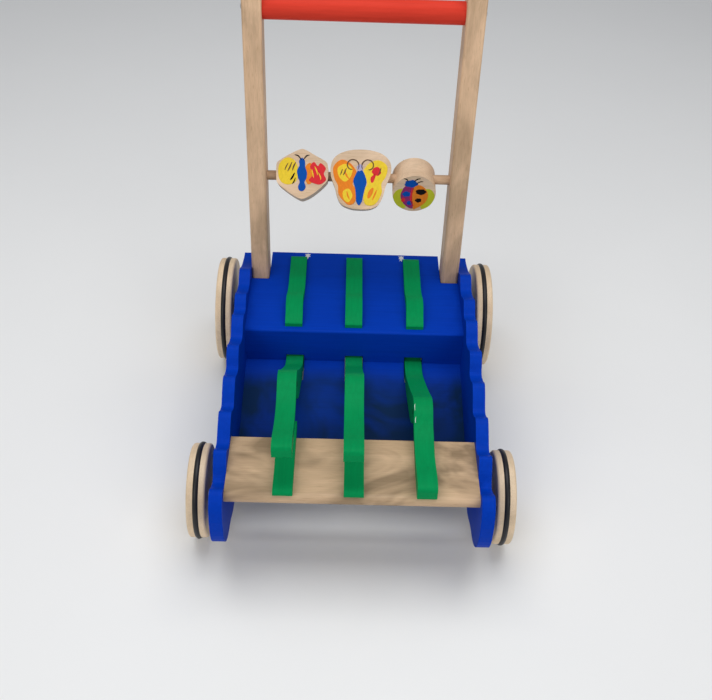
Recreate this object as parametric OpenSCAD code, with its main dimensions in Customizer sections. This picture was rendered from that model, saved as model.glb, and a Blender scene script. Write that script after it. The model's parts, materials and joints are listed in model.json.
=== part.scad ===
// Wooden push-along baby walker: a low blue carriage on four wheels, three snapping
// heads worked by the rear axle, and a tall handle frame with three painted rollers.
// Lengths are in millimetres, +Z is up, the front points along -Y and the ground is z = 0.

/* [Carriage] */
// Distance between the inner faces of the two side panels
inner_w = 230; // [210:1:250]
// Thickness of each side panel
side_t = 12; // [9:0.5:15]
// Thickness of the rear deck and of the front plank
board_t = 12; // [9:0.5:14]
// Height of the rear deck's top face
deck_top = 120; // [116:0.5:122]
// Front edge of the rear deck, behind the front axle
deck_front = 158; // [152:1:160]
// Rear edge of the rear deck, behind the front axle
deck_rear = 299; // [296:1:302]
// Thickness of the riser below the deck's front edge
riser_t = 9; // [6:0.5:10]
// Thickness of the sloping pond panel
pond_t = 6; // [4:0.5:8]
// Height of the front plank's top face
plank_top = 110; // [108:0.5:111]
// Front edge of the front plank, ahead of the front axle
plank_front = 61; // [58:0.5:64]
// Rear edge of the front plank, behind the front axle
plank_rear = 12; // [10:0.5:14]

/* [Wheels] */
// Distance between the front and the rear axle
wheelbase = 268; // [264:1:272]
// Rolling radius of a front wheel, over its rubber ring
front_r = 47; // [45:0.5:49]
// Rolling radius of a rear wheel, over its rubber ring
rear_r = 60; // [58:0.5:61]
// Width of a wheel's wooden disc
wheel_w = 18; // [16:0.5:20]
// Space between a side panel and a wheel
wheel_gap = 9.8; // [8:0.1:12]
// Radius of a rubber ring's round section
ring_r = 3; // [2.5:0.1:3.5]
// How far a rubber ring stands proud of the wood
ring_proud = 1.5; // [1:0.1:2]
// Radius of the steel axles
axle_r = 4; // [3:0.5:4.5]

/* [Handle] */
// Height of the tops of the two uprights
upright_top = 450; // [440:1:470]
// Width of an upright, across the walker
upright_w = 19; // [18:0.5:22]
// Depth of an upright, along the walker
upright_d = 30; // [26:0.5:32]
// Height of the lower ends of the uprights
upright_foot = 72; // [70:0.5:76]
// Angle that the uprights lean back
lean = 2.86; // [0:0.01:5]
// Height of the red bar's axis
bar_z = 416.5; // [408:0.5:420]
// Radius of the red bar
bar_r = 11; // [10:0.5:13]
// Height of the roller dowel's axis
dowel_z = 239.5; // [230:0.5:260]
// Radius of the roller dowel
dowel_r = 5; // [4:0.5:6]

/* [Heads] */
// Thickness of the green heads, tails and lower jaws
green_t = 18; // [16:0.5:19]
// Distance from the front axle back to the heads' pivot dowel
pivot_y = 186; // [184:0.5:188]
// Height of the heads' pivot dowel
pivot_z = 67; // [66:0.5:68]
// Radius of the heads' pivot dowel
pivot_r = 5; // [4:0.5:5.5]
// Opening of the left head as it stands, from closed
left_open = 8.4; // [0:0.1:9.8]
// Opening of the middle head as it stands, from closed
center_open = 7.8; // [0:0.1:9.8]
// Opening of the right head as it stands, from closed
right_open = 0; // [0:0.1:9.8]

/* [Rollers] */
// Thickness of the three painted rollers
roller_t = 28; // [22:0.5:30]
// Tilt of the left roller's face, up from straight ahead
roller_left_tilt = 38; // [-90:1:90]
// Tilt of the middle roller's face, up from straight ahead
roller_center_tilt = 36; // [-90:1:90]
// Tilt of the right roller's face, up from straight ahead
roller_right_tilt = -11; // [-90:1:90]

/* [Hidden] */
$fn = 64;

fit = 0.02;        // clearance of pieces that are fixed together
run = 0.08;        // radial clearance of pieces that turn
side_play = 0.4;   // endwise clearance of pieces that turn
half_w = inner_w / 2;
outer_w = half_w + side_t;
wheel_x = outer_w + wheel_gap + wheel_w / 2;
deck_bottom = deck_top - board_t;
plank_bottom = plank_top - board_t;
rear_axle_y = wheelbase;

blue = [0.01, 0.20, 0.62];
green = [0.0, 0.50, 0.27];
natural = [0.84, 0.72, 0.56];
red = [0.86, 0.24, 0.18];
rubber_black = [0.12, 0.12, 0.12];
steel = [0.72, 0.73, 0.75];
pale_plastic = [0.85, 0.85, 0.82];

// Smooth curve through a list of points, with its ends as given.
function curve_point(a, b, c, d, t) =
  0.5 * (2 * b + (c - a) * t + (2 * a - 5 * b + 4 * c - d) * t * t + (3 * b - a - 3 * c + d) * t * t * t);
function clamp(i, n) = min(max(i, 0), n - 1);
function curve(p, steps = 5) = concat(
  [for (i = [0:len(p) - 2], s = [0:steps - 1])
    curve_point(p[clamp(i - 1, len(p))], p[i], p[i + 1], p[clamp(i + 2, len(p))], s / steps)],
  [p[len(p) - 1]]);

// Outline of a side panel in the YZ plane: stepped waves along the top from rear to front,
// a round lobe at the front, and a low arched edge underneath.
side_waves = [
  [295, 121], [288, 121], [270, 125], [254, 131], [238, 139], [229, 136], [220, 131], [206, 134],
  [190, 142], [182, 139], [175, 133.5], [166, 135], [156, 140], [146, 136], [135, 128.5], [121, 133],
  [107, 141], [98, 136], [90, 126.5], [78, 129], [66, 135.5], [55, 130], [43.5, 120.5], [34, 123],
  [24, 129.5], [12, 124], [-1, 115.5], [-11, 118], [-21, 125], [-30, 117], [-39, 105], [-50, 109],
  [-60, 116], [-68.5, 113], [-74.5, 104], [-77.3, 92]
];
lobe_z = 80;
lobe_r = 40;
lobe_y = lobe_r - 77.5;
lobe_arc = [for (a = [180:10:270]) [lobe_y + lobe_r * cos(a), lobe_z + lobe_r * sin(a)]];
belly = [
  [-26, 37], [-12, 30.5], [0, 29], [16, 31], [60, 44], [134, 52], [208, 48], [250, 38], [268, 36], [295, 40]
];
side_outline = concat(curve(side_waves), lobe_arc, curve(belly, 4));

front_reach = -min([for (p = side_outline) p.x]);
rear_reach = wheelbase + rear_r;
mid_y = (rear_reach - front_reach) / 2;

// Where the heads, their slots, the tails and the lower jaws stand across the walker.
head_x = [-62.6, 0.4, 63.8];
slot_x = [-62.5, 0.4, 64];
tail_x = [-64, -1, 63.5];
jaw_x = [-62.4, 1.2, 66.6];
slot_w = green_t + 1.5;
slot_top = 87;

// Fixing positions, as [distance behind the front axle, height].
pond_fall = 13;
pond_rear_top = 79;
function pond_z(y) = pond_rear_top - (deck_front - y) * tan(pond_fall);
deck_fix = [[176, deck_top - board_t / 2], [228, deck_top - board_t / 2]];
riser_fix = [[deck_front + riser_t / 2, 100], [deck_front + riser_t / 2, 68]];
pond_fix = [for (y = [45, 120]) [y, pond_z(y) - pond_t / 2 / cos(pond_fall)]];
plank_fix = [[-54, plank_top - board_t / 2], [-4, plank_top - board_t / 2]];
function upright_y(z) = 264 + (z - deck_top) * tan(lean);
bolt_fix = [for (z = [81, 98]) [upright_y(z), z]];
tail_fix_y = [180, 266];
jaw_fix_y = [-40, 0];

// Moves a shape that is measured from the front axle so that the walker's box is centred.
module on_walker() {
  translate([0, -mid_y, 0]) children();
}

// Stands a YZ outline up as a board of thickness t, with its middle at x.
module board_yz(points, t, x = 0) {
  translate([x - t / 2, 0, 0])
    rotate([90, 0, 90])
      linear_extrude(t) polygon(points);
}

// A cylinder along X from x0 to x1.
module rod_x(x0, x1, r) {
  translate([x0, 0, 0]) rotate([0, 90, 0]) cylinder(h = x1 - x0, r = r);
}

// Wood screw along +Z: a low domed head below z = 0 and a pointed shank above it.
screw_head_r = 3.6;
screw_head_h = 1.8;
recess_w = 0.9;
recess_l = 4.2;
module screw(length, r) {
  difference() {
    rotate_extrude() polygon([
      [0, -screw_head_h], [screw_head_r * 0.6, -screw_head_h], [screw_head_r, -screw_head_h * 0.4],
      [screw_head_r, 0], [r, 0], [r, length - 2 * r], [0, length]]);
    for (a = [45, 135])
      rotate([0, 0, a]) translate([0, 0, -screw_head_h])
        cube([recess_l, recess_w, 2 * recess_w], center = true);
  }
}
module screw_hole(length, r) {
  translate([0, 0, -1]) cylinder(h = length + 1.2, r = r + fit);
}

// Puts a +Z shape on the outside of both side panels at [y, z], pointing inwards.
module through_sides(places, x = outer_w) {
  for (p = places, side = [-1, 1])
    translate([side * x, p.x, p.y]) rotate([0, -side * 90, 0]) children();
}

// ---------- carriage ----------
bush_flange_r = 9;
bush_flange_t = 1.6;
bush_r = axle_r + 2.4;

module side_panel(side) {
  mid_x = side * (half_w + side_t / 2);
  difference() {
    board_yz(side_outline, side_t, mid_x);
    for (p = [[0, front_r], [rear_axle_y, rear_r]])
      translate([0, p.x, p.y]) rod_x(mid_x - side_t, mid_x + side_t, bush_r + fit);
    translate([0, pivot_y, pivot_z]) rod_x(mid_x - side_t, mid_x + side_t, pivot_r + fit);
    through_sides(concat(deck_fix, riser_fix, plank_fix)) screw_hole(34, 2);
    through_sides(pond_fix) screw_hole(30, 1.5);
    through_sides(bolt_fix) screw_hole(34, 3);
  }
}
module left_side_panel() on_walker() color(blue) side_panel(-1);
module right_side_panel() on_walker() color(blue) side_panel(1);

// Deck outline from above: two rear corners are cut out for the uprights.
notch_front = 247.8;
notch_x = half_w - upright_w - 0.6;
edge_round = 2.5;
module rear_deck() on_walker() color(blue) difference() {
  union() {
    translate([0, 0, deck_bottom]) linear_extrude(board_t) polygon([
      [-half_w, deck_front + edge_round], [half_w, deck_front + edge_round], [half_w, notch_front],
      [notch_x, notch_front], [notch_x, deck_rear], [-notch_x, deck_rear], [-notch_x, notch_front],
      [-half_w, notch_front]]);
    translate([0, deck_front + edge_round, deck_top - edge_round]) rod_x(-half_w, half_w, edge_round);
    translate([-half_w, deck_front, deck_bottom]) cube([inner_w, edge_round, board_t - edge_round]);
  }
  through_sides(deck_fix) screw_hole(34, 2);
  for (x = tail_x, y = tail_fix_y) translate([x, y, deck_bottom]) screw_hole(17, 1.6);
}

riser_bottom = 58;
module riser_panel() on_walker() color(blue) difference() {
  translate([-half_w, deck_front, riser_bottom]) cube([inner_w, riser_t, deck_bottom - riser_bottom]);
  for (x = slot_x)
    translate([x - slot_w / 2, deck_front - 1, riser_bottom - 1])
      cube([slot_w, riser_t + 2, slot_top - riser_bottom + 1]);
  through_sides(riser_fix) screw_hole(34, 2);
}

pond_front = 16;
pond_slot_front = 133;
module pond_panel() on_walker() color(blue) difference() {
  board_yz([
    [pond_front, pond_z(pond_front)], [pond_front, pond_z(pond_front) - pond_t],
    [deck_front, pond_rear_top - pond_t], [deck_front, pond_rear_top]], inner_w);
  for (x = slot_x)
    translate([x - slot_w / 2, pond_slot_front, 40]) cube([slot_w, deck_front, 60]);
  through_sides(pond_fix) screw_hole(30, 1.5);
}

plank_round = 6;
module front_plank() on_walker() color(natural) difference() {
  union() {
    translate([-half_w, -plank_front + plank_round, plank_bottom])
      cube([inner_w, plank_front + plank_rear - plank_round, board_t]);
    translate([0, -plank_front + plank_round, plank_bottom + board_t / 2])
      rod_x(-half_w, half_w, plank_round);
  }
  through_sides(plank_fix) screw_hole(34, 2);
  for (x = jaw_x, y = jaw_fix_y) {
    translate([x, y, plank_bottom + 2]) screw_hole(17, 1.6);
    translate([x, y, plank_bottom - 1]) cylinder(h = 3, r = screw_head_r + 0.3);
  }
}

// ---------- green pieces ----------
// Tails lie on the deck: a high front hump, a dip and a low run to the rear, with a slight
// sway outwards at the front, as they are sawn.
tail_front = 165;
tail_rear = 288;
tail_top = [
  [tail_front, 4], [168, 6], [178, 9], [192, 11], [204, 10.5], [216, 7.5], [230, 6.5], [243, 7],
  [256, 6], [270, 5], [282, 4.5], [tail_rear, 2.5]
];
tail_sway = [
  [0, 150], [0.1, 176], [0.6, 190], [0.7, 204], [0.1, 218], [-0.2, 232], [-0.1, 260], [0.1, 300]
];
module tail(x, out) {
  sway = curve(tail_sway, 3);
  last = len(sway) - 1;
  difference() {
    intersection() {
      translate([0, 0, deck_top])
        board_yz(concat([[tail_rear, 0], [tail_front, 0]], curve(tail_top, 4)), green_t + 8, x);
      translate([x, 0, deck_top - 1]) linear_extrude(30) polygon(concat(
        [for (p = sway) [out * p.x - green_t / 2, p.y]],
        [for (i = [0:last]) [out * sway[last - i].x + green_t / 2, sway[last - i].y]]));
    }
    for (y = tail_fix_y) translate([x, y, deck_bottom]) screw_hole(15.4, 1.6);
  }
}
module tail_left() on_walker() color(green) tail(tail_x[0], -1);
module tail_center() on_walker() color(green) tail(tail_x[1], 0);
module tail_right() on_walker() color(green) tail(tail_x[2], 1);

// Lower jaws are glued and screwed to the plank.
jaw_rear = 26;
jaw_top = [
  [-61, 111.5], [-60.5, 114.5], [-57, 116.5], [-48, 116], [-34, 115], [-16, 116.5], [-2, 119],
  [8, 120.6], [16, 121.2], [22, 121], [jaw_rear, 118.8]
];
module lower_jaw(x) {
  difference() {
    board_yz(concat([[jaw_rear, plank_top], [-58, plank_top]], curve(jaw_top, 4)), green_t, x);
    for (y = jaw_fix_y) translate([x, y, plank_bottom + 2]) screw_hole(14, 1.6);
  }
}
module lower_jaw_left() on_walker() color(green) lower_jaw(jaw_x[0]);
module lower_jaw_center() on_walker() color(green) lower_jaw(jaw_x[1]);
module lower_jaw_right() on_walker() color(green) lower_jaw(jaw_x[2]);

// A head is one lever: the snout and brow in front of the riser, a neck through the slot,
// an eye round the pivot dowel, and a low arm that runs back under the rear axle.
// The outline is the closed head, from the arm's rear end over the top to the tip and back.
arm_top_z = 40.5;
arm_rear = 284;
head_over = [
  [arm_rear, arm_top_z - 2], [272, arm_top_z], [258, arm_top_z], [240, 43], [222, 50], [206, 62],
  [194, 76], [184, 79.5], [172, 80], [156, 80.5], [144, 81.5], [132, 85], [114, 94.5], [92, 107],
  [72, 119], [54, 130.5], [44, 137], [35, 139.5], [25, 138], [13, 131], [0, 126.5], [-16, 125.5],
  [-34, 127.5], [-50, 131.3], [-60, 132], [-65.5, 130.6], [-67, 127.2]
];
head_under = [
  [-66.8, 120.5], [-64.8, 118.8], [-57, 118.4], [-48, 118], [-34, 117], [-16, 118.5], [-2, 121.1],
  [8, 122.8], [18, 123.6], [25, 123.4], [29, 120.5], [31, 115], [37, 109], [50, 101],
  [80, 89.5], [110, 79.5], [124, 76.2], [134, 74.8], [143, 69.5], [156, 65],
  [174, 58], [186, 53], [200, 44], [222, 32], [246, 27], [270, 27.5], [arm_rear, 29]
];
head_outline = concat(curve(head_over, 4), curve(head_under, 4));
// A head leans and turns a little in its slot; the hole stays square to the dowel.
module head(x, opening, lean_out, turn_out) {
  translate([0, pivot_y, pivot_z])
    rotate([-opening, 0, 0])
      difference() {
        translate([x, 0, 0]) rotate([0, lean_out, turn_out])
          translate([0, -pivot_y, -pivot_z]) board_yz(head_outline, green_t);
        rod_x(x - green_t, x + green_t, pivot_r + run);
      }
}
module head_left() on_walker() color(green) head(head_x[0], left_open, -1.2, 0.3);
module head_center() on_walker() color(green) head(head_x[1], center_open, -0.4, 0);
module head_right() on_walker() color(green) head(head_x[2], right_open, 0.6, 0.3);

module head_pivot_dowel() on_walker() color(natural)
  translate([0, pivot_y, pivot_z]) rod_x(-outer_w + 1, outer_w - 1, pivot_r);

// ---------- handle ----------
// Runs its children in the leaning frame of an upright: z is the height along it.
module leaning() {
  translate([0, upright_y(0), 0]) rotate([-lean, 0, 0]) children();
}
function along(z) = z / cos(lean);

upright_round = 3;
dowel_seat = 11;
module upright(side) {
  difference() {
    leaning() translate([side * (half_w - upright_w / 2), 0, along(upright_foot)])
      linear_extrude(along(upright_top) - along(upright_foot) - upright_d / 2 * sin(lean))
        rounded_rectangle(upright_w, upright_d, upright_round);
    through_sides(bolt_fix) screw_hole(34, 3);
    for (p = bolt_fix)
      translate([side * (half_w - upright_w), p.x, p.y]) rotate([0, side * 90, 0]) nut_hole();
    translate([0, upright_y(dowel_z), dowel_z])
      rod_x(side > 0 ? half_w - upright_w - 1 : -half_w - 1 + upright_w - dowel_seat + 1,
            side > 0 ? half_w - upright_w + dowel_seat : -half_w + upright_w + 1, dowel_r + fit);
    through_sides([[upright_y(bar_z), bar_z]], half_w) screw_hole(44, 2);
  }
}
module rounded_rectangle(w, d, r) {
  union() {
    square([w - 2 * r, d], center = true);
    square([w, d - 2 * r], center = true);
    for (x = [-1, 1], y = [-1, 1]) translate([x * (w / 2 - r), y * (d / 2 - r)]) circle(r);
  }
}
module left_upright() on_walker() color(natural) upright(-1);
module right_upright() on_walker() color(natural) upright(1);

bar_half = half_w - upright_w;
module handle_bar() on_walker() color(red) difference() {
  translate([0, upright_y(bar_z), bar_z]) rod_x(-bar_half, bar_half, bar_r);
  through_sides([[upright_y(bar_z), bar_z]], half_w) screw_hole(44, 2);
}

module roller_dowel() on_walker() color(natural)
  translate([0, upright_y(dowel_z), dowel_z])
    rod_x(-bar_half - dowel_seat + 1, bar_half + dowel_seat - 1, dowel_r);

// ---------- rollers ----------
// Roller outlines face forward, with the dowel's axis through the middle.
roller_x = [-58.7, 2.2, 59.2];
hex_points = [
  [-26.8, -5], [-24.5, -10.5], [-13.5, -18.8], [-3, -24.8], [3, -24.8], [13, -19], [24.5, -8.5],
  [27, -2.5], [26.6, 9], [24, 14], [13, 20], [2.5, 25.6], [-3, 25.6], [-13.5, 20.5], [-25, 13], [-27, 8]
];
wing_points = [
  [-31.5, 7], [-30.5, -2], [-26.5, -12], [-24, -21], [-19.5, -29], [-10, -33.2], [1, -34.2],
  [12, -33], [19.5, -28.5], [23.8, -20], [26.3, -10], [30.5, 0], [31.8, 9], [29.5, 17], [22, 23.5],
  [11, 26.8], [0, 27.6], [-12, 26.5], [-23, 22.5], [-29.5, 16]
];
drum_r = 22.8;
drum_h = 25;
drum_drop = 8;
module closed_curve(points) {
  polygon([for (i = [0:len(points) - 1], s = [0:3])
    curve_point(points[(i + len(points) - 1) % len(points)], points[i], points[(i + 1) % len(points)],
      points[(i + 2) % len(points)], s / 4)]);
}
module on_dowel(x, tilt) {
  translate([x, upright_y(dowel_z), dowel_z])
    rotate([-tilt, 0, 0])
      difference() {
        rotate([90, 0, 0]) translate([0, 0, -roller_t / 2]) linear_extrude(roller_t) children();
        rod_x(-60, 60, dowel_r + run);
      }
}
module roller_left() on_walker() color(natural)
  on_dowel(roller_x[0], roller_left_tilt) closed_curve(hex_points);
module roller_center() on_walker() color(natural)
  on_dowel(roller_x[1], roller_center_tilt) closed_curve(wing_points);
module roller_right() on_walker() color(natural)
  on_dowel(roller_x[2], roller_right_tilt) closed_curve([for (a = [0:20:340])
    [drum_r * cos(a), drum_h * sin(a) - drum_drop]]);

// ---------- wheels ----------
module wheel(r, hole_r) {
  wood_r = r - ring_proud;
  soft = 2.5;
  rotate_extrude() difference() {
    union() {
      translate([hole_r, -wheel_w / 2]) square([wood_r - soft - hole_r, wheel_w]);
      translate([hole_r, -wheel_w / 2 + soft]) square([wood_r - hole_r, wheel_w - 2 * soft]);
      for (s = [-1, 1]) translate([wood_r - soft, s * (wheel_w / 2 - soft)]) circle(soft);
    }
    translate([r - ring_r, 0]) circle(ring_r + fit);
  }
}
module ring(r) {
  rotate_extrude() translate([r - ring_r, 0]) circle(ring_r);
}
module at_wheel(y, z, side) {
  on_walker() translate([side * wheel_x, y, z]) rotate([0, 90, 0]) children();
}
module front_left_wheel() at_wheel(0, front_r, -1) color(natural) wheel(front_r, axle_r + run);
module front_right_wheel() at_wheel(0, front_r, 1) color(natural) wheel(front_r, axle_r + run);
module rear_left_wheel() at_wheel(rear_axle_y, rear_r, -1) color(natural) wheel(rear_r, axle_r + fit);
module rear_right_wheel() at_wheel(rear_axle_y, rear_r, 1) color(natural) wheel(rear_r, axle_r + fit);
module front_left_ring() at_wheel(0, front_r, -1) color(rubber_black) ring(front_r);
module front_right_ring() at_wheel(0, front_r, 1) color(rubber_black) ring(front_r);
module rear_left_ring() at_wheel(rear_axle_y, rear_r, -1) color(rubber_black) ring(rear_r);
module rear_right_ring() at_wheel(rear_axle_y, rear_r, 1) color(rubber_black) ring(rear_r);

// Axles end just outside the wheels, under their caps.
wheel_out = wheel_x + wheel_w / 2;
axle_half = wheel_out + 2.4;
module front_axle() on_walker() color(steel)
  translate([0, 0, front_r]) rod_x(-axle_half, axle_half, axle_r);
module rear_axle() on_walker() color(steel)
  translate([0, rear_axle_y, rear_r]) rod_x(-axle_half, axle_half, axle_r);

module axle_bushes() on_walker() color(pale_plastic)
  for (p = [[0, front_r], [rear_axle_y, rear_r]], side = [-1, 1])
    translate([side * half_w, p.x, p.y]) rotate([0, side * 90, 0]) difference() {
      union() {
        cylinder(h = side_t, r = bush_r);
        translate([0, 0, side_t]) cylinder(h = bush_flange_t, r = bush_flange_r);
      }
      translate([0, 0, -1]) cylinder(h = side_t + 4, r = axle_r + run);
    }

// Sleeves that keep the wheels off the side panels.
spacer_r = 7;
module spacers(y, z, hole_r) {
  for (side = [-1, 1])
    translate([side * (outer_w + bush_flange_t + side_play), y, z]) rotate([0, side * 90, 0]) difference() {
      cylinder(h = wheel_gap - bush_flange_t - 2 * side_play, r = spacer_r);
      translate([0, 0, -1]) cylinder(h = wheel_gap + 2, r = hole_r);
    }
}
module front_spacers() on_walker() color(natural) spacers(0, front_r, axle_r + fit);
module rear_spacers() on_walker() color(natural) spacers(rear_axle_y, rear_r, axle_r + fit);

// Domed caps pressed on the axle ends.
cap_r = 8.5;
cap_h = 4.2;
cap_wall = 1.4;
module hub_caps(y, z, gap) {
  for (side = [-1, 1])
    translate([side * (wheel_out + gap), y, z]) rotate([0, side * 90, 0]) difference() {
      rotate_extrude() polygon(concat(
        [[0, 0]], [for (a = [0:10:80]) [cap_r * cos(a), 1 + (cap_h - 1) * sin(a)]], [[0, cap_h]]));
      translate([0, 0, -1]) cylinder(h = cap_h - cap_wall - gap + 1, r = axle_r + fit);
    }
}
module front_hub_caps() on_walker() color(steel) hub_caps(0, front_r, side_play);
module rear_hub_caps() on_walker() color(steel) hub_caps(rear_axle_y, rear_r, 0.05);

// Off-centre discs on the rear axle, one over each head's arm.
cam_r = 13;
cam_throw = 5;
cam_t = 10;
cam_turn = [-90, 60, 90];
module cam(i) {
  translate([head_x[i] - cam_t / 2, rear_axle_y, rear_r]) rotate([0, 90, 0]) difference() {
    rotate([0, 0, cam_turn[i]]) translate([cam_throw, 0, 0]) cylinder(h = cam_t, r = cam_r);
    translate([0, 0, -1]) cylinder(h = cam_t + 2, r = axle_r + fit);
  }
}
module cam_left() on_walker() color(natural) cam(0);
module cam_center() on_walker() color(natural) cam(1);
module cam_right() on_walker() color(natural) cam(2);

// ---------- fasteners ----------
module deck_screws() on_walker() color(steel) through_sides(deck_fix) screw(34, 2);
module riser_screws() on_walker() color(steel) through_sides(riser_fix) screw(34, 2);
module pond_screws() on_walker() color(steel) through_sides(pond_fix) screw(30, 1.5);
module plank_screws() on_walker() color(steel) through_sides(plank_fix) screw(34, 2);
module tail_screws() on_walker() color(steel)
  for (x = tail_x, y = tail_fix_y) translate([x, y, deck_bottom]) screw(15, 1.6);
module jaw_screws() on_walker() color(steel)
  for (x = jaw_x, y = jaw_fix_y) translate([x, y, plank_bottom + 2]) screw(13.6, 1.6);
module handle_screws() on_walker() color(steel)
  through_sides([[upright_y(bar_z), bar_z]], half_w) screw(44, 2);

// Machine bolts hold each upright to its side panel; their nuts sit in the upright.
bolt_r = 3;
bolt_head_r = 6;
bolt_head_h = 2.6;
bolt_l = side_t + upright_w;
socket_r = 2;
module upright_bolts() on_walker() color(steel) through_sides(bolt_fix) difference() {
  union() {
    cylinder(h = bolt_l, r = bolt_r);
    rotate_extrude() polygon([
      [0, -bolt_head_h], [bolt_head_r - 1, -bolt_head_h], [bolt_head_r, 1 - bolt_head_h],
      [bolt_head_r, 0], [0, 0]]);
  }
  translate([0, 0, -bolt_head_h - 1]) cylinder(h = bolt_head_h, r = socket_r, $fn = 6);
}
nut_r = 4.2;
nut_l = 9;
nut_flange_r = 8;
nut_flange_t = 1.4;
module nut_hole() {
  translate([0, 0, -0.1]) cylinder(h = nut_l + 0.1, r = nut_r + fit);
}
module insert_nuts() on_walker() color(steel)
  for (p = bolt_fix, side = [-1, 1])
    translate([side * (half_w - upright_w), p.x, p.y]) rotate([0, side * 90, 0]) difference() {
      union() {
        cylinder(h = nut_l, r = nut_r);
        translate([0, 0, -nut_flange_t]) cylinder(h = nut_flange_t, r = nut_flange_r);
      }
      translate([0, 0, -2]) cylinder(h = nut_l + 4, r = bolt_r + fit);
    }

left_side_panel();
right_side_panel();
rear_deck();
riser_panel();
pond_panel();
front_plank();
left_upright();
right_upright();
handle_bar();
roller_dowel();
head_pivot_dowel();
tail_left();
tail_center();
tail_right();
lower_jaw_left();
lower_jaw_center();
lower_jaw_right();
head_left();
head_center();
head_right();
roller_left();
roller_center();
roller_right();
front_axle();
rear_axle();
axle_bushes();
front_left_wheel();
front_right_wheel();
rear_left_wheel();
rear_right_wheel();
front_left_ring();
front_right_ring();
rear_left_ring();
rear_right_ring();
front_spacers();
rear_spacers();
front_hub_caps();
rear_hub_caps();
cam_left();
cam_center();
cam_right();
deck_screws();
riser_screws();
pond_screws();
plank_screws();
tail_screws();
jaw_screws();
handle_screws();
upright_bolts();
insert_nuts();
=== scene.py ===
"""Wooden push-along baby walker: looks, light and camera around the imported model.

Lengths are in metres. +Z is up, the walker's front points along -Y, and the floor is z = 0.
"""
import json
import math

import bmesh
import bpy
from mathutils import Matrix, Vector


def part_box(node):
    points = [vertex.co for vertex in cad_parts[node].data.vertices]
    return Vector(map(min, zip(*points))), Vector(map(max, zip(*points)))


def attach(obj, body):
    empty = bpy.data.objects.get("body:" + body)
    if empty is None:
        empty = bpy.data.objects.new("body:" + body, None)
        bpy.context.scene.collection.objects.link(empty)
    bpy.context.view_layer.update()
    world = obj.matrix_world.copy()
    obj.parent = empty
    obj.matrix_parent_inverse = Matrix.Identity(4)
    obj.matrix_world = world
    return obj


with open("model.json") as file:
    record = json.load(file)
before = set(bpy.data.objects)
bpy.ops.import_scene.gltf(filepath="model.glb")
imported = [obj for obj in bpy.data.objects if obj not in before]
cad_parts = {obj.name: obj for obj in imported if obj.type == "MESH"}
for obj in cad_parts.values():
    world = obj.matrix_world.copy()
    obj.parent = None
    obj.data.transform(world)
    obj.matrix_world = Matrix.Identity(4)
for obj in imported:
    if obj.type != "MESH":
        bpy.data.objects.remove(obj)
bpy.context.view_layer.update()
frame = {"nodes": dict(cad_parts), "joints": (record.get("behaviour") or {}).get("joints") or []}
nodes = frame["nodes"]
MM = 0.001

# ------------------------------------------------------------------ camera
CAMERA_AT = Vector((-0.01268, -0.77260, 0.79255))
PITCH_DOWN = math.radians(40.87)
YAW_RIGHT = math.radians(1.07)
ROLL = math.radians(2.17)
LENS_MM = 50.56


def make_camera():
    forward = Vector((math.sin(YAW_RIGHT) * math.cos(PITCH_DOWN),
                      math.cos(YAW_RIGHT) * math.cos(PITCH_DOWN),
                      -math.sin(PITCH_DOWN)))
    level_right = Vector((math.cos(YAW_RIGHT), -math.sin(YAW_RIGHT), 0))
    level_down = forward.cross(level_right)
    right = level_right * math.cos(ROLL) - level_down * math.sin(ROLL)
    down = level_down * math.cos(ROLL) + level_right * math.sin(ROLL)
    data = bpy.data.cameras.new("camera")
    data.lens = LENS_MM
    data.clip_start = 0.01
    data.clip_end = 20
    camera = bpy.data.objects.new("camera", data)
    turn = Matrix((right, -down, -forward)).transposed().to_4x4()
    camera.matrix_world = Matrix.Translation(CAMERA_AT) @ turn
    bpy.context.scene.collection.objects.link(camera)
    bpy.context.scene.camera = camera


make_camera()


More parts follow.
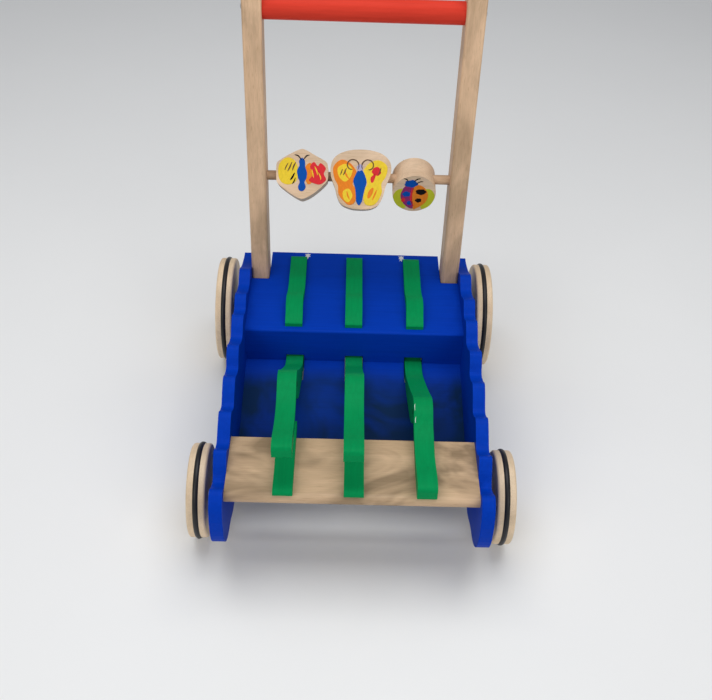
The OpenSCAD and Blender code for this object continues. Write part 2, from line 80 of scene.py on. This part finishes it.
# ------------------------------------------------------------------ node helpers
class Shader:
    """A material under construction: short calls that add and join its nodes."""

    def __init__(self, name):
        self.material = bpy.data.materials.new(name)
        self.material.use_nodes = True
        self.tree = self.material.node_tree
        self.surface = self.tree.nodes["Principled BSDF"]
        self.place = self.add("ShaderNodeTexCoord").outputs["Object"]

    def add(self, kind, **settings):
        node = self.tree.nodes.new(kind)
        for key, value in settings.items():
            setattr(node, key, value)
        return node

    def join(self, source, target):
        self.tree.links.new(source, target)

    def put(self, socket, value):
        """Sets a socket of the surface shader, to a constant or from another node."""
        if hasattr(value, "is_output"):
            self.join(value, self.surface.inputs[socket])
        else:
            self.surface.inputs[socket].default_value = value

    def stretch(self, scale, turn=(0, 0, 0), source=None):
        mapping = self.add("ShaderNodeMapping")
        self.join(source or self.place, mapping.inputs["Vector"])
        mapping.inputs["Scale"].default_value = scale
        mapping.inputs["Rotation"].default_value = turn
        return mapping.outputs["Vector"]

    def noise(self, vector, scale, detail=4.0, rough=0.55, distort=0.0):
        node = self.add("ShaderNodeTexNoise")
        self.join(vector, node.inputs["Vector"])
        node.inputs["Scale"].default_value = scale
        node.inputs["Detail"].default_value = detail
        node.inputs["Roughness"].default_value = rough
        node.inputs["Distortion"].default_value = distort
        return node.outputs["Fac"]

    def ramp(self, value, stops):
        node = self.add("ShaderNodeValToRGB")
        self.join(value, node.inputs["Fac"])
        elements = node.color_ramp.elements
        while len(elements) < len(stops):
            elements.new(0.5)
        for element, (position, colour) in zip(elements, stops):
            element.position = position
            element.color = (*colour, 1) if len(colour) == 3 else colour
        return node.outputs["Color"]

    def spread(self, value, low, high):
        """Maps 0..1 to low..high."""
        node = self.add("ShaderNodeMapRange")
        self.join(value, node.inputs["Value"])
        node.inputs["To Min"].default_value = low
        node.inputs["To Max"].default_value = high
        return node.outputs["Result"]

    def fade(self, axis, none_at, full_at):
        """Rises from 0 to 1 between two places along an axis."""
        split = self.add("ShaderNodeSeparateXYZ")
        self.join(self.place, split.inputs[0])
        node = self.add("ShaderNodeMapRange", interpolation_type="SMOOTHSTEP")
        self.join(split.outputs[axis], node.inputs["Value"])
        node.inputs["From Min"].default_value = none_at
        node.inputs["From Max"].default_value = full_at
        return node.outputs["Result"]

    def mix(self, share, first, second, blend="MIX"):
        node = self.add("ShaderNodeMix", data_type="RGBA", blend_type=blend)
        for index, value in ((0, share), (6, first), (7, second)):
            if hasattr(value, "is_output"):
                self.join(value, node.inputs[index])
            elif index == 0:
                node.inputs[index].default_value = value
            else:
                node.inputs[index].default_value = (*value, 1)
        return node.outputs[2]

    def math(self, operation, first, second):
        node = self.add("ShaderNodeMath", operation=operation)
        for socket, value in zip(node.inputs, (first, second)):
            if hasattr(value, "is_output"):
                self.join(value, socket)
            else:
                socket.default_value = value
        return node.outputs[0]

    def bump(self, height, strength, depth_mm=0.1):
        node = self.add("ShaderNodeBump")
        node.inputs["Strength"].default_value = strength
        node.inputs["Distance"].default_value = depth_mm * MM
        self.join(height, node.inputs["Height"])
        self.join(node.outputs["Normal"], self.surface.inputs["Normal"])


GRAIN_TURN = {"X": (0, 0, 0), "Y": (0, 0, math.radians(90)), "Z": (0, math.radians(90), 0)}


def wood(name, pale, dark, along, rough=(0.42, 0.58), ring_scale=55, figure=0.7, slant=0):
    """Pale varnished hardwood with its grain along one axis."""
    s = Shader(name)
    lengthwise = s.stretch((1, 1, 1), GRAIN_TURN[along])
    long_bands = s.stretch((0.07, 1, 1), source=lengthwise)
    rings = s.noise(long_bands, ring_scale, 3, 0.5, 0.6)
    fibres = s.noise(s.stretch((0.03, 1, 1), source=lengthwise), 900, 3, 0.7)
    pores = s.noise(s.stretch((0.05, 1, 1), source=lengthwise), 1700, 1, 0.5)
    slanted = s.stretch((0.45, 1, 1), (0, 0, math.radians(slant)), source=lengthwise)
    blotch = s.noise(slanted, 17, 3, 0.6, 1.2)
    middle = [0.5 * (p + d) for p, d in zip(pale, dark)]
    tone = s.ramp(rings, [(0.30, pale), (0.52, middle), (0.72, dark)])
    streak = s.ramp(fibres, [(0.30, (0.86, 0.84, 0.80)), (0.62, (1.04, 1.03, 1.02))])
    tone = s.mix(0.75, tone, streak, "MULTIPLY")
    flecks = s.ramp(pores, [(0.30, (0.74, 0.68, 0.60)), (0.38, (1, 1, 1))])
    tone = s.mix(0.55, tone, flecks, "MULTIPLY")
    cloud = s.ramp(blotch, [
        (0.41, (0.56, 0.55, 0.50)), (0.50, (0.86, 0.85, 0.82)), (0.61, (1.12, 1.11, 1.09))])
    s.put("Base Color", s.mix(figure, tone, cloud, "MULTIPLY"))
    s.put("Roughness", s.spread(fibres, *rough))
    s.put("Specular IOR Level", 0.4)
    s.bump(s.math("ADD", fibres, s.math("MULTIPLY", pores, 0.7)), 0.35, 0.08)
    return s.material


# Painted shade on the pond panel, standing for the heads' shade and their dark reflection: none behind the
# first of these places, full in front of the second, and the cover is how much of it is laid on at most.
UNSHADED_AT_Y, SHADED_AT_Y = 0.030, -0.004
PAINTED_SHADE_COVER = 0.92


def paint(name, colour, deep, along="X", gloss=(0.42, 0.56), wear=0.35, painted_shade=None):
    """Satin paint over close-grained wood: brush-soft colour drift and faint raised grain.

    The last argument, if given, is a painted shade: a darker colour laid in wide soft patches towards the
    front.
    """
    s = Shader(name)
    lengthwise = s.stretch((1, 1, 1), GRAIN_TURN[along])
    grain = s.noise(s.stretch((0.05, 1, 1), source=lengthwise), 420, 4, 0.6, 0.3)
    drift = s.noise(s.place, 18, 4, 0.6)
    peel = s.noise(s.place, 650, 2, 0.5)
    scuff = s.noise(s.place, 95, 5, 0.75)
    tone = s.mix(s.spread(drift, 0.0, 0.55), colour, deep)
    worn = s.ramp(scuff, [(0.66, (0, 0, 0)), (0.80, (1, 1, 1))])
    lift = [min(1, c * 1.3 + 0.012) for c in colour]
    tone = s.mix(s.math("MULTIPLY", worn, wear), tone, lift)
    streaks = s.ramp(grain, [(0.30, (0.90, 0.90, 0.90)), (0.65, (1.06, 1.06, 1.06))])
    tone = s.mix(0.8, tone, streaks, "MULTIPLY")
    # Painted shade: darker soft patches that grow towards the front.
    if painted_shade:
        cloud = s.noise(s.place, 14, 3, 0.55, 0.8)
        patchy = s.ramp(cloud, [(0.36, (0.50, 0.50, 0.50)), (0.56, (1, 1, 1))])
        share = s.math("MULTIPLY", patchy, s.fade("Y", UNSHADED_AT_Y, SHADED_AT_Y))
        tone = s.mix(s.math("MULTIPLY", share, PAINTED_SHADE_COVER), tone, painted_shade)
    s.put("Base Color", tone)
    uneven = s.math("ADD", s.math("MULTIPLY", grain, 0.6), s.math("MULTIPLY", scuff, 0.4))
    s.put("Roughness", s.spread(uneven, *gloss))
    s.put("Specular IOR Level", 0.035)
    s.bump(s.math("ADD", grain, s.math("MULTIPLY", peel, 0.35)), 0.22, 0.08)
    return s.material


def rubber(name):
    s = Shader(name)
    fine = s.noise(s.place, 900, 4, 0.7)
    dust = s.noise(s.place, 60, 4, 0.6)
    s.put("Base Color", s.mix(s.spread(dust, 0.0, 0.6), (0.008, 0.008, 0.009), (0.026, 0.025, 0.024)))
    s.put("Roughness", s.spread(fine, 0.30, 0.50))
    s.put("Specular IOR Level", 0.32)
    s.bump(fine, 0.25, 0.06)
    return s.material


def steel(name):
    s = Shader(name)
    fine = s.noise(s.stretch((1, 1, 6)), 500, 4, 0.6)
    s.put("Base Color", s.mix(s.spread(fine, 0.0, 1.0), (0.50, 0.51, 0.53), (0.68, 0.68, 0.69)))
    s.put("Metallic", 1.0)
    s.put("Roughness", s.spread(fine, 0.24, 0.40))
    s.bump(fine, 0.12, 0.03)
    return s.material


def plastic(name):
    s = Shader(name)
    fine = s.noise(s.place, 700, 3, 0.6)
    s.put("Base Color", s.mix(fine, (0.62, 0.62, 0.58), (0.72, 0.72, 0.68)))
    s.put("Roughness", s.spread(fine, 0.40, 0.52))
    s.bump(fine, 0.15, 0.03)
    return s.material


# Paint and wood colours, each with the darker one that it drifts to.
BLUE = (0.0005, 0.042, 0.420)
BLUE_DEEP = (0.0005, 0.030, 0.345)
GREEN = (0.0010, 0.270, 0.080)
GREEN_DEEP = (0.0010, 0.200, 0.058)
RED = (0.64, 0.050, 0.028)
RED_DEEP = (0.56, 0.034, 0.020)
WOOD_PALE = (0.70, 0.475, 0.305)
WOOD_DARK = (0.56, 0.360, 0.220)
PLANK_PALE = (0.61, 0.430, 0.275)
PLANK_DARK = (0.46, 0.315, 0.190)
UPRIGHT_PALE = (0.78, 0.535, 0.345)
UPRIGHT_DARK = (0.61, 0.405, 0.250)
WHEEL_PALE = (0.88, 0.70, 0.49)
WHEEL_DARK = (0.76, 0.57, 0.37)


def picture_paint(name, colour, deep=0.75):
    """Thin hobby paint of one of the rollers' insects."""
    return paint(name, colour, [c * deep for c in colour], "Z", (0.38, 0.50))


materials = {
    "blue_x": paint("blue_paint_cross", BLUE, BLUE_DEEP, "X"),
    "blue_y": paint("blue_paint_long", BLUE, BLUE_DEEP, "Y"),
    # The pond panel's paint carries painted shade of the heads towards the front.
    "blue_pond": paint("blue_paint_painted_shade", BLUE, BLUE_DEEP, "X", painted_shade=(0.0030, 0.022, 0.058)),
    "green": paint("green_paint", GREEN, GREEN_DEEP, "Y"),
    "red": paint("red_paint", RED, RED_DEEP, "X", (0.34, 0.46)),
    "wood_x": wood("wood_cross", WOOD_PALE, WOOD_DARK, "X"),
    "plank": wood("wood_plank", PLANK_PALE, PLANK_DARK, "X", figure=1.0, slant=42),
    "wood_z": wood("wood_upright", UPRIGHT_PALE, UPRIGHT_DARK, "Z", figure=0.5, slant=12),
    "roller": wood("roller_wood", (0.80, 0.60, 0.42), (0.70, 0.50, 0.33), "X", figure=0.35),
    "wheel": wood("wheel_wood", WHEEL_PALE, WHEEL_DARK, "Y", ring_scale=40, figure=0.3),
    "rubber": rubber("ring_rubber"),
    "steel": steel("zinc_steel"),
    "plastic": plastic("bush_plastic"),
    "yellow": picture_paint("yellow_paint", (0.86, 0.62, 0.045)),
    "orange": picture_paint("orange_paint", (0.83, 0.24, 0.025)),
    "crimson": picture_paint("crimson_paint", (0.72, 0.035, 0.045)),
    "violet": picture_paint("violet_paint", (0.30, 0.035, 0.16)),
    "cobalt": picture_paint("cobalt_paint", (0.006, 0.085, 0.42)),
    "lilac": picture_paint("lilac_paint", (0.42, 0.40, 0.62)),
    "lime": picture_paint("lime_paint", (0.56, 0.58, 0.035)),
    "brown": picture_paint("brown_paint", (0.13, 0.075, 0.045)),
    "black": picture_paint("black_paint", (0.012, 0.010, 0.010)),
    "chip": picture_paint("bare_primer", (0.62, 0.63, 0.64), 0.9),
}

SIDES = ("left", "center", "right")
LOOK = {
    "blue_y": ["left_side_panel", "right_side_panel"],
    "blue_x": ["rear_deck", "riser_panel"],
    "blue_pond": ["pond_panel"],
    "green": [f"{part}_{side}" for part in ("tail", "lower_jaw", "head") for side in SIDES],
    "red": ["handle_bar"],
    "plank": ["front_plank"],
    "roller": [f"roller_{side}" for side in SIDES],
    "wood_x": ["roller_dowel", "head_pivot_dowel", "front_spacers", "rear_spacers"]
              + [f"cam_{side}" for side in SIDES],
    "wood_z": ["left_upright", "right_upright"],
    "wheel": ["front_left_wheel", "front_right_wheel", "rear_left_wheel", "rear_right_wheel"],
    "rubber": ["front_left_ring", "front_right_ring", "rear_left_ring", "rear_right_ring"],
    "steel": ["front_axle", "rear_axle", "front_hub_caps", "rear_hub_caps", "deck_screws", "riser_screws",
              "pond_screws", "plank_screws", "tail_screws", "jaw_screws", "handle_screws", "upright_bolts",
              "insert_nuts"],
    "plastic": ["axle_bushes"],
}
for look, names in LOOK.items():
    for name in names:
        slots = nodes[name].data.materials
        slots.clear()
        slots.append(materials[look])


# Soft corners on the sawn and painted wood: bevel width in mm, and the looks that get it.
SOFT_EDGE = {0.9: ("blue_y", "blue_x", "blue_pond", "plank", "wood_z", "green"), 1.4: ("roller",)}
for width, looks in SOFT_EDGE.items():
    for name in (name for look in looks for name in LOOK[look]):
        weld = nodes[name].modifiers.new("weld", "WELD")
        weld.merge_threshold = 0.01 * MM
        bevel = nodes[name].modifiers.new("soft edge", "BEVEL")
        bevel.width = width * MM
        bevel.segments = 2
        bevel.limit_method = "ANGLE"
        bevel.angle_limit = math.radians(50)
        bevel.harden_normals = True


# ------------------------------------------------------------------ painted pictures
def smooth_loop(points, steps=6):
    """Closed smooth curve through 2-D points."""
    count = len(points)
    loop = []
    for i in range(count):
        a, b, c, d = (Vector(points[(i + k) % count]) for k in (-1, 0, 1, 2))
        for step in range(steps):
            t = step / steps
            loop.append(0.5 * (2 * b + (c - a) * t + (2 * a - 5 * b + 4 * c - d) * t * t
                               + (3 * b - a - 3 * c + d) * t ** 3))
    return loop


def blob(x, z, rx, rz, wobble=0.10, lobes=5, count=18):
    """Round brush dab, a little uneven."""
    return [(x + rx * math.cos(a) * (1 + wobble * math.sin(lobes * a + x)),
             z + rz * math.sin(a) * (1 + wobble * math.cos(lobes * a + z)))
            for a in (2 * math.pi * k / count for k in range(count))]


def stroke(points, width):
    """Brush stroke along a line: widest in the middle, thin at its ends."""
    line = [Vector(p) for p in points]
    left, right = [], []
    last = len(line) - 1
    for i, at in enumerate(line):
        ahead = (line[min(i + 1, last)] - line[max(i - 1, 0)]).normalized()
        aside = Vector((-ahead.y, ahead.x)) * width * (0.5 if 0 < i < last else 0.22)
        left.append(at + aside)
        right.append(at - aside)
    return left + right[::-1]


def curl(x, z, radius, start, sweep, width, steps=9):
    """Curled feeler: an arc that winds inwards."""
    points = []
    for i in range(steps + 1):
        a = math.radians(start + sweep * i / steps)
        shrink = radius * (1 - 0.45 * i / steps)
        points.append((x + shrink * math.cos(a), z + shrink * math.sin(a)))
    return stroke(points, width)


# Each patch is (paint, height above the wood in mm, outline in mm: right and up on the face).
# Later patches stand a little higher, so that they cover the ones under them.
LEFT_INSECT = [
    ("yellow", 0.20, smooth_loop([
        (-4, 4), (-8, 14), (-16, 17), (-23.5, 11), (-25, 1), (-22, -8), (-14, -11), (-6, -7)])),
    ("orange", 0.20, smooth_loop([(3, 7), (8, 12), (12, 6), (11, -7), (6, -10), (3, -3)])),
    ("crimson", 0.28, smooth_loop([
        (8, 8), (12, 13), (16, 9), (19, 12), (24.5, 7), (22.5, 1), (25, -5), (19, -10), (12, -9),
        (7, -6), (11, 0)])),
    ("cobalt", 0.36, smooth_loop([
        (-0.5, 17), (2.6, 14), (3, 8), (5, 2), (4.6, -4), (2.6, -8), (4, -13), (1.6, -17), (-2.4, -17),
        (-4, -13), (-2.4, -8), (-4.4, -3), (-5.4, 4), (-3, 9), (-3.4, 14)])),
    ("brown", 0.44, smooth_loop(stroke([(-7, 12), (-9, 8), (-10, 4)], 1.5))),
    ("brown", 0.44, smooth_loop(stroke([(-11, 12), (-13, 7), (-15, 3)], 1.4))),
    ("brown", 0.44, smooth_loop(stroke([(-15, 11), (-17, 7), (-18, 4)], 1.1))),
    ("black", 0.44, smooth_loop(stroke([(-8, 1), (-10, -3), (-12, -6)], 2.0))),
    ("black", 0.44, smooth_loop(stroke([(-7, -4), (-8.5, -8), (-10, -10)], 1.3))),
    ("black", 0.44, smooth_loop(stroke([(-1, 15), (-4.5, 19), (-8, 20)], 1.2))),
    ("black", 0.44, smooth_loop(stroke([(1, 15), (4, 19), (7, 20)], 1.2))),
    ("yellow", 0.44, smooth_loop(stroke([(13, 8), (15, 4), (16, 0)], 1.2))),
    ("yellow", 0.44, smooth_loop(stroke([(10, 5), (11, 1), (12, -3)], 1.2))),
    ("yellow", 0.44, smooth_loop(stroke([(17, 2), (19, -2), (19.5, -5)], 1.1))),
]
CENTER_INSECT = [
    ("orange", 0.20, smooth_loop([
        (-5, 6), (-12, 14), (-21, 16.5), (-28.5, 9), (-27.5, -2), (-23.5, -10), (-22.5, -19),
        (-17, -26), (-11, -30), (-5, -26), (-4.5, -14), (-8, -8), (-5, 0)])),
    ("yellow", 0.28, smooth_loop([(-9, 8), (-16, 12.5), (-24, 8), (-22.5, -1), (-16, -6), (-10, 0)])),
    ("yellow", 0.28, smooth_loop([(-12, -13), (-18, -16), (-17, -24), (-12, -27), (-8, -20)])),
    ("orange", 0.34, smooth_loop(stroke([(-17, 6), (-15, 1), (-12, -3)], 1.8))),
    ("orange", 0.34, smooth_loop(stroke([(-14, -16), (-13, -20), (-11, -24)], 1.6))),
    ("yellow", 0.20, smooth_loop([
        (3, 6), (9, 14), (19, 17), (27.5, 11), (26.5, 1), (22, -7), (22.5, -16), (18, -26), (12, -30),
        (5, -28), (3, -16), (7, -8), (4, 0)])),
    ("crimson", 0.28, smooth_loop(blob(16.5, 5.5, 4.8, 4.6))),
    ("crimson", 0.28, smooth_loop(stroke([(15, 2), (12.5, -2), (12, -6)], 4.4))),
    ("orange", 0.28, smooth_loop(stroke([(13, -12), (10.5, -17), (8.5, -22)], 4.6))),
    ("orange", 0.28, smooth_loop(stroke([(17, -14), (15, -19), (13, -24)], 1.8))),
    ("cobalt", 0.36, smooth_loop([
        (-1, 8), (2.6, 5), (4.5, 1), (6.4, -5), (5, -12), (3.4, -19), (2, -26), (-1, -30), (-4, -26),
        (-4.6, -19), (-5.6, -12), (-7.6, -5), (-5.6, 1), (-3.6, 5)])),
    ("lilac", 0.42, smooth_loop(blob(-1, 9, 3.2, 3.6))),
    ("brown", 0.46, smooth_loop(curl(-9, 11, 7.5, -30, 300, 1.0, 14))),
    ("brown", 0.46, smooth_loop(curl(8, 11, 7.5, 210, -300, 1.0, 14))),
    ("brown", 0.46, smooth_loop(stroke([(-15, 8), (-16.5, 4), (-18, 1)], 1.3))),
    ("brown", 0.46, smooth_loop(stroke([(-19, 7), (-20, 4), (-21, 1)], 1.1))),
    ("brown", 0.46, smooth_loop(stroke([(21, 9), (20, 5), (18.5, 2)], 1.2))),
]
RIGHT_INSECT = [
    ("lime", 0.20, smooth_loop([
        (-9, -3), (-16, -2), (-21, -8), (-21.5, -16), (-17, -25), (-9, -29), (-6, -14)])),
    ("lime", 0.20, smooth_loop([
        (9, -3), (16, -1), (21, -7), (21.5, -15), (17, -25), (9, -29), (7, -14)])),
    ("violet", 0.28, smooth_loop([
        (-1, 3), (-9, 3), (-13.5, -5), (-14, -14), (-10, -23), (-3, -29), (0, -27), (-2, -12)])),
    ("orange", 0.28, smooth_loop([
        (-1, 3), (6, 4), (12.5, -2), (15, -11), (12, -21), (4, -28.5), (0, -29), (-2, -13)])),
    ("cobalt", 0.38, smooth_loop(blob(-4, 6, 6.8, 5))),
    ("cobalt", 0.38, smooth_loop(blob(-8, -8.5, 4.4, 3.8))),
    ("cobalt", 0.38, smooth_loop(blob(-4, -21, 3.2, 3.2))),
    ("crimson", 0.34, smooth_loop(blob(-11, -17, 2.2, 3.2))),
    ("black", 0.38, smooth_loop(blob(7, -5, 5.6, 4))),
    ("black", 0.38, smooth_loop(blob(5, -17, 3.4, 3.0))),
    ("crimson", 0.38, smooth_loop(stroke([(-2, 0), (-3, -9), (-2.5, -18), (0, -25)], 2.4))),
    ("black", 0.46, smooth_loop(stroke([(-7, 9), (-9, 12), (-12, 13)], 1.1))),
    ("black", 0.46, smooth_loop(stroke([(-1, 9.5), (2, 12.5), (5, 13.5)], 1.1))),
    ("black", 0.46, smooth_loop(stroke([(1, 6), (5, 9), (8, 9.5)], 1.0))),
]


FOOT_DEPTH = 0.05
RIM_SHARE = 0.6
TOP_INSET = 0.97


def patch_mesh(name, patches, to_world):
    """One mesh of thin paint patches; to_world turns (right, up, height) in mm into a point."""
    mesh = bmesh.new()
    looks = sorted({look for look, _, _ in patches})
    for look, height, outline in patches:
        foot = [mesh.verts.new(to_world(x, z, -FOOT_DEPTH)) for x, z in outline]
        rim = [mesh.verts.new(to_world(x, z, height * RIM_SHARE)) for x, z in outline]
        middle = sum((Vector(p) for p in outline), Vector((0, 0))) / len(outline)
        inset = [middle + (Vector(p) - middle) * TOP_INSET for p in outline]
        top = [mesh.verts.new(to_world(x, z, height)) for x, z in inset]
        faces = [mesh.faces.new(top)]
        count = len(outline)
        for low, high in ((foot, rim), (rim, top)):
            faces += [mesh.faces.new((low[i], low[(i + 1) % count], high[(i + 1) % count], high[i]))
                      for i in range(count)]
        for face in faces:
            face.material_index = looks.index(look)
            face.smooth = len(face.verts) == 4
    bmesh.ops.recalc_face_normals(mesh, faces=mesh.faces[:])
    data = bpy.data.meshes.new(name)
    mesh.to_mesh(data)
    mesh.free()
    for look in looks:
        data.materials.append(materials[look])
    piece = bpy.data.objects.new(name, data)
    bpy.context.scene.collection.objects.link(piece)
    return piece


def joint_at(name):
    """Position of a joint from the record, in metres."""
    for joint in frame["joints"]:
        if joint["name"] == name:
            return Vector(joint["pos_m"])
    raise KeyError(name)


# Half the rollers' thickness and the middle of each face, in mm.
ROLLER_HALF = 14
ROLLER_X = {"left": -58.7, "center": 2.2, "right": 59.2}


def paint_roller(side, insect, tilt):
    """Paints the same insect on the front and back faces of a roller tilted by that many degrees."""
    body = f"{side}_roller"
    hub = joint_at(f"{side}_roller_spin")
    hub.x = ROLLER_X[side] * MM
    turn = Matrix.Rotation(math.radians(-tilt), 3, "X")
    for face, way in (("front", -1), ("back", 1)):
        def to_world(right, up, height, way=way):
            return hub + turn @ (Vector((right, way * (ROLLER_HALF + height), up)) * MM)
        piece = patch_mesh(f"{side}_insect_{face}", insect, to_world)
        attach(piece, body)


paint_roller("left", LEFT_INSECT, 38)
paint_roller("center", CENTER_INSECT, 36)
paint_roller("right", RIGHT_INSECT, -11)


def face_frame(node, at, direction, up):
    """Point where a ray meets a CAD node, with axes that lie on its surface there."""
    hit, point, normal, _ = nodes[node].ray_cast(Vector(at), Vector(direction))
    if not hit:
        raise ValueError(f"no surface of {node} at {at}")
    high = (Vector(up) - normal * normal.dot(Vector(up))).normalized()
    return point, high.cross(normal), high, normal


def sticker(name, node, body, patches, at, direction, up):
    """Paint patches on the surface of a CAD node."""
    point, right, high, normal = face_frame(node, at, direction, up)
    piece = patch_mesh(name, patches,
                       lambda x, z, height: point + (right * x + high * z + normal * height) * MM)
    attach(piece, body)


def swing(x, y, z, degrees):
    """Where a point of a closed head goes when the head opens by that angle."""
    pivot = joint_at("center_head_snap")
    closed = Vector((0, y * MM - pivot.y, z * MM - pivot.z))
    arm = Matrix.Rotation(math.radians(-degrees), 3, "X") @ closed
    return Vector((x * MM, pivot.y + arm.y, pivot.z + arm.z))


# A dark eye on each side of every head, below the brow; it also stands in for the shadow in the gap behind
# the lower jaw, so it is partly a painted shadow. Lengths in mm, openings in degrees.
EYE_AND_SHADOW_Y, EYE_AND_SHADOW_Z = -93.25, 129.5
ASIDE = 30
HEADS = [("left", -62.6, 8.4), ("center", 0.4, 7.8), ("right", 63.8, 0)]
EYE_AND_SHADOW = [("black", 0.22, smooth_loop(blob(0, 0, 2.6, 2.6, 0.04)))]
for side, x, opening in HEADS:
    for face, way in (("a", -1), ("b", 1)):
        sticker(f"{side}_eye_and_shadow_{face}", f"head_{side}", f"{side}_head", EYE_AND_SHADOW,
                swing(x + way * ASIDE, EYE_AND_SHADOW_Y, EYE_AND_SHADOW_Z, opening), (-way, 0, 0), (0, 0, 1))

# Chips in the paint of the deck's rear edge and scratches on a brow, down to the pale primer.
CHIP = [("chip", 0.16, [
    (-2.6, -8.2), (-0.9, -6.0), (0.1, -8.8), (1.0, -4.2), (3.2, -3.4), (1.7, -1.2), (3.4, 1.6), (0.9, 1.3),
    (0.4, 2.7), (-1.1, 1.2), (-3.5, 1.7), (-1.9, -0.9), (-3.1, -3.0), (-1.3, -4.4)])]
SCRATCH = [("chip", 0.14, smooth_loop(stroke([(0.2, 3.5), (-0.1, 1), (0, -3.5)], 0.6), 2))]
EDGE_TO_CHIP = 4
ABOVE_DECK, ABOVE_HEAD = 10, 100
deck_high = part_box("rear_deck")[1]
for name, x in (("chip_left", -54.5), ("chip_right", 53)):
    sticker(name, "rear_deck", "carriage", CHIP,
            (x * MM, deck_high.y - EDGE_TO_CHIP * MM, deck_high.z + ABOVE_DECK * MM),
            (0, 0, -1), (0, 1, 0))
for name, x, y in (("scratch_a", 57.2, -97), ("scratch_b", 57.8, -109)):
    sticker(name, "head_right", "right_head", SCRATCH,
            (x * MM, y * MM, deck_high.z + ABOVE_HEAD * MM), (0, 0, -1), (0, 1, 0))


# ------------------------------------------------------------------ floor and light
def make_floor():
    mesh = bpy.data.meshes.new("floor")
    reach = 6
    corners = [(-reach, -reach, 0), (reach, -reach, 0), (reach, reach, 0), (-reach, reach, 0)]
    mesh.from_pydata(corners, [], [(0, 1, 2, 3)])
    floor = bpy.data.objects.new("floor", mesh)
    bpy.context.scene.collection.objects.link(floor)
    s = Shader("floor")
    soft = s.noise(s.place, 3, 4, 0.6)
    s.put("Base Color", s.mix(soft, (0.82, 0.825, 0.82), (0.86, 0.865, 0.86)))
    s.put("Roughness", 0.55)
    mesh.materials.append(s.material)


def area_light(name, at, aim, size, watts):
    data = bpy.data.lights.new(name, "AREA")
    data.shape = "RECTANGLE"
    data.size, data.size_y = size
    data.energy = watts
    light = bpy.data.objects.new(name, data)
    light.location = at
    light.rotation_mode = "QUATERNION"
    light.rotation_quaternion = (Vector(aim) - Vector(at)).to_track_quat("-Z", "Y")
    bpy.context.scene.collection.objects.link(light)


def make_light():
    world = bpy.data.worlds.new("studio")
    world.use_nodes = True
    background = world.node_tree.nodes["Background"]
    background.inputs["Color"].default_value = (0.93, 0.95, 1.0, 1)
    background.inputs["Strength"].default_value = 0.30
    bpy.context.scene.world = world
    bpy.context.scene.view_settings.view_transform = "Standard"
    area_light("overhead", (0.0, 0.1, 1.7), (0, 0.05, 0.1), (1.7, 1.1), 17.5)
    area_light("front_left", (-1.0, -1.6, 1.25), (0, 0, 0.2), (1.2, 0.9), 11)
    area_light("front_right", (1.0, -1.6, 1.25), (0, 0, 0.2), (1.2, 0.9), 9)


make_floor()
make_light()

bpy.context.view_layer.update()
